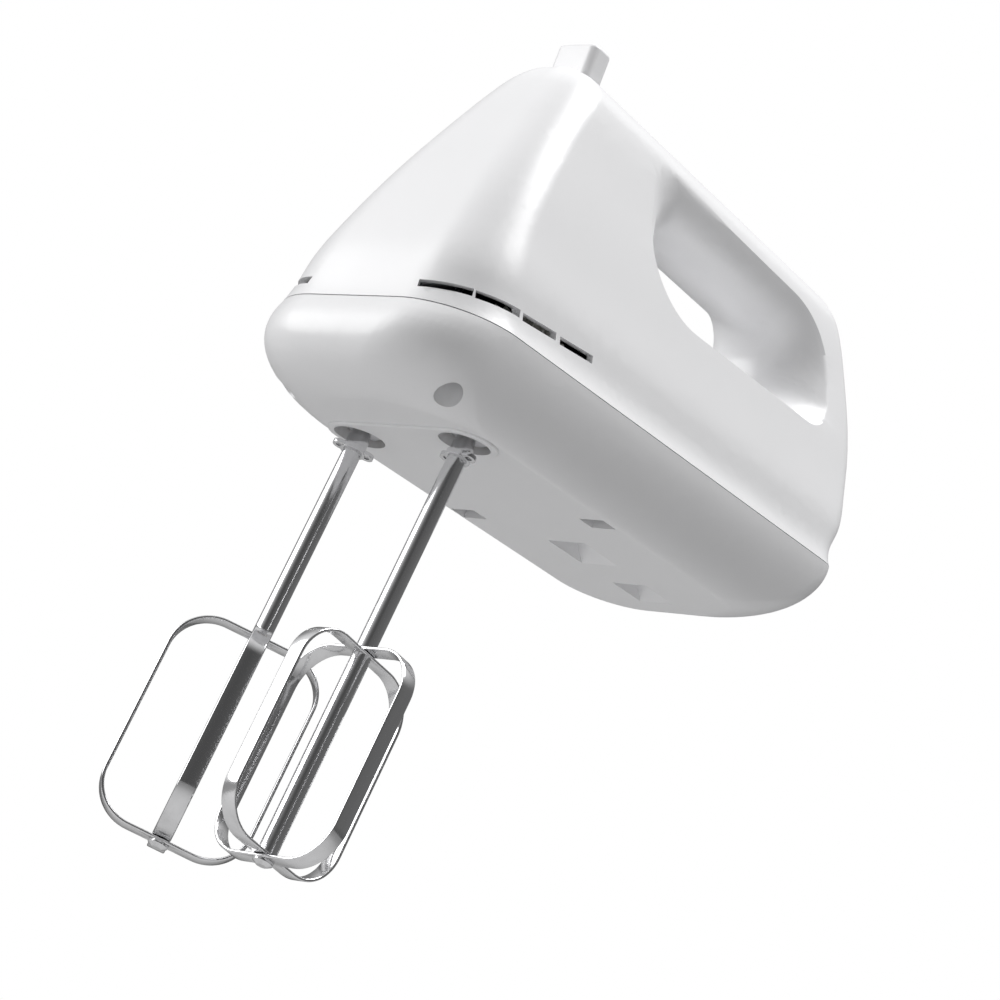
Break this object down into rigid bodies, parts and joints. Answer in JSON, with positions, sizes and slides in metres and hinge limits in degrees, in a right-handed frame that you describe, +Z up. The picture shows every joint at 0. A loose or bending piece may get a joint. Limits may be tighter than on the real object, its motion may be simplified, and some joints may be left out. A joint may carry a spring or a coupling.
{
  "type": "hand mixer",
  "caption": "Electric hand mixer with two wire beaters, closed-loop handle, speed and eject knob, worm drive and motor inside.",
  "frame": {"origin": "midway between the two beater shafts, where their plane crosses the level of the housing's flat base", "axes": "+Z up along the beater shafts, +Y to the rear of the mixer, +X to its left side"},
  "size_m": [0.0855, 0.1988, 0.2759],
  "materials": {
    "white_shell": "glossy",
    "white_knob": "satin",
    "grey_nylon": "matte",
    "black_plastic": "matte",
    "chrome_wire": "polished",
    "chrome_stem": "polished",
    "steel": "machined",
    "iron_core": "laminated",
    "copper": "enamelled",
    "bronze": "sintered",
    "white_nylon": "satin",
    "carbon": "matte",
    "board": "satin"
  },
  "bodies": {
    "housing": {"upper_housing": "white_shell", "lower_housing": "white_shell", "cord_inlet_bush": "grey_nylon", "housing_screws": "steel", "control_board": "board", "noise_capacitor": "black_plastic", "gear_frame": "steel", "left_lower_bush": "bronze", "right_lower_bush": "bronze", "left_upper_bush": "bronze", "right_upper_bush": "bronze", "front_shaft_bush": "bronze", "middle_shaft_bush": "bronze", "rear_shaft_bush": "bronze", "rear_bearing_bracket": "steel", "brush_holders": "grey_nylon", "carbon_brushes": "carbon", "brush_springs": "steel", "stator_core": "iron_core", "field_coils": "copper", "speed_switch": "black_plastic"},
    "armature": {"armature_shaft": "steel", "armature_core": "iron_core", "armature_windings": "copper", "commutator": "copper", "cooling_fan": "black_plastic"},
    "left_drive": {"left_spindle": "steel", "left_worm_wheel": "white_nylon"},
    "right_drive": {"right_spindle": "steel", "right_worm_wheel": "white_nylon"},
    "left_beater": {"left_beater_stem": "chrome_stem", "left_beater_collar": "chrome_stem", "left_beater_loop_outer": "chrome_wire", "left_beater_loop_inner": "chrome_wire", "left_beater_rivet": "chrome_stem"},
    "right_beater": {"right_beater_stem": "chrome_stem", "right_beater_collar": "chrome_stem", "right_beater_loop_outer": "chrome_wire", "right_beater_loop_inner": "chrome_wire", "right_beater_rivet": "chrome_stem"},
    "selector": {"selector_carriage": "grey_nylon"},
    "knob": {"speed_knob": "white_knob"},
    "ejector": {"eject_plunger": "grey_nylon", "eject_spring": "steel"}
  },
  "joints": [
    {"name": "armature_spin", "type": "hinge", "parent": "housing", "child": "armature", "pos_m": [0, 0, 0.034], "axis": [0, 1, 0], "continuous": true},
    {"name": "left_drive_spin", "type": "hinge", "parent": "housing", "child": "left_drive", "pos_m": [0.0205, 0, 0], "axis": [0, 0, 1], "continuous": true},
    {"name": "right_drive_spin", "type": "hinge", "parent": "housing", "child": "right_drive", "pos_m": [-0.0205, 0, 0], "axis": [0, 0, 1], "continuous": true},
    {"name": "left_beater_pull", "type": "slide", "parent": "left_drive", "child": "left_beater", "axis": [0, 0, -1], "range_m": [0, 0.022]},
    {"name": "right_beater_pull", "type": "slide", "parent": "right_drive", "child": "right_beater", "axis": [0, 0, -1], "range_m": [0, 0.022]},
    {"name": "speed_select", "type": "slide", "parent": "housing", "child": "selector", "axis": [0, 0.9942, 0.1073], "range_m": [0, 0.009]},
    {"name": "knob_press", "type": "slide", "parent": "selector", "child": "knob", "axis": [0, 0.1073, -0.9942], "range_m": [0, 0.004]},
    {"name": "ejector_press", "type": "slide", "parent": "housing", "child": "ejector", "axis": [0, 0, -1], "range_m": [0, 0.004], "stiffness_N_per_m": 300, "springref_m": -0.004, "deforming": ["eject_spring"]}
  ],
  "couplings": [
    {"joint": "left_drive_spin", "follows": "armature_spin", "ratio": 0.035714},
    {"joint": "right_drive_spin", "follows": "armature_spin", "ratio": -0.035714},
    {"joint": "knob_press", "follows": "ejector_press", "ratio": 1}
  ]
}
